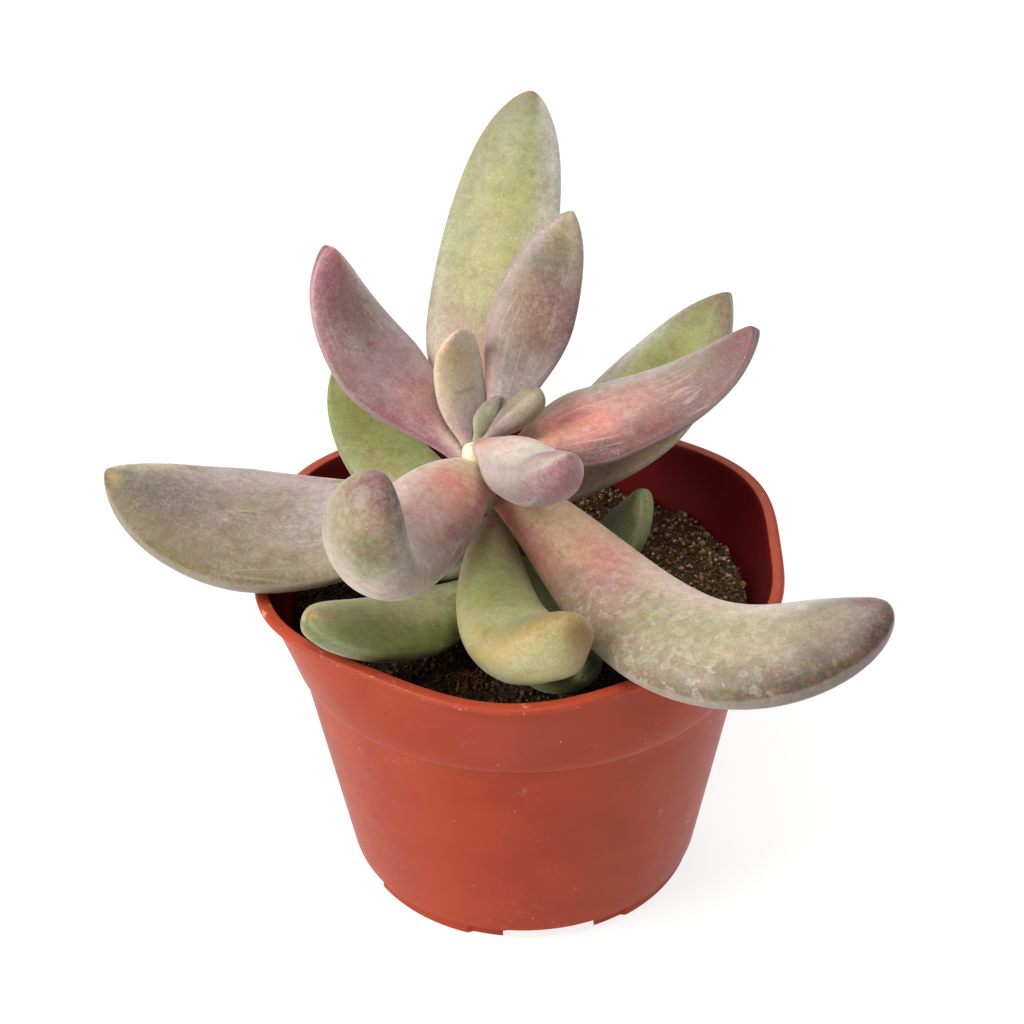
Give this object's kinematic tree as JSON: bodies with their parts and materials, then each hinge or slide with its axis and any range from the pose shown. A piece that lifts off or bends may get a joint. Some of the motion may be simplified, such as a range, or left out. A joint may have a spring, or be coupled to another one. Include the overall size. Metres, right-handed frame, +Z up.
{
  "type": "potted succulent",
  "caption": "Loose open succulent with thick spoon-shaped leaves on a short leaning stem, rooted in soil in a thin plastic nursery pot with a lobed collar.",
  "frame": {"origin": "middle of the whole part's footprint, on the surface that the pot stands on", "axes": "+Z up along the pot's axis, +X to the right and +Y to the back as the picture sees it; -Z is the foot's face"},
  "size_m": [0.1284, 0.108, 0.1331],
  "materials": {
    "pot_plastic": "satin",
    "peat_soil": "matte",
    "stem_skin": "satin",
    "leaf_green": "satin",
    "leaf_pink": "satin",
    "leaf_mauve": "satin",
    "leaf_pale": "satin",
    "leaf_dark": "satin"
  },
  "bodies": {
    "root": {"pot": "pot_plastic", "soil": "peat_soil", "stem": "stem_skin", "leaf_back_tall": "leaf_green", "leaf_back_inner": "leaf_mauve", "leaf_upper_left": "leaf_mauve", "leaf_young_back": "leaf_pale", "leaf_young_right": "leaf_pale", "leaf_right_pink": "leaf_pink", "leaf_right_behind": "leaf_green", "leaf_young_front": "leaf_pale", "leaf_left_long": "leaf_mauve", "leaf_left_behind": "leaf_green", "leaf_curled_up": "leaf_pink", "leaf_front_long": "leaf_pink", "leaf_curled_aside": "leaf_green", "leaf_low_left": "leaf_green", "leaf_low_right": "leaf_dark", "leaf_low_front": "leaf_dark", "leaf_low_hidden": "leaf_green", "leaf_bud": "leaf_pale"}
  },
  "joints": []
}
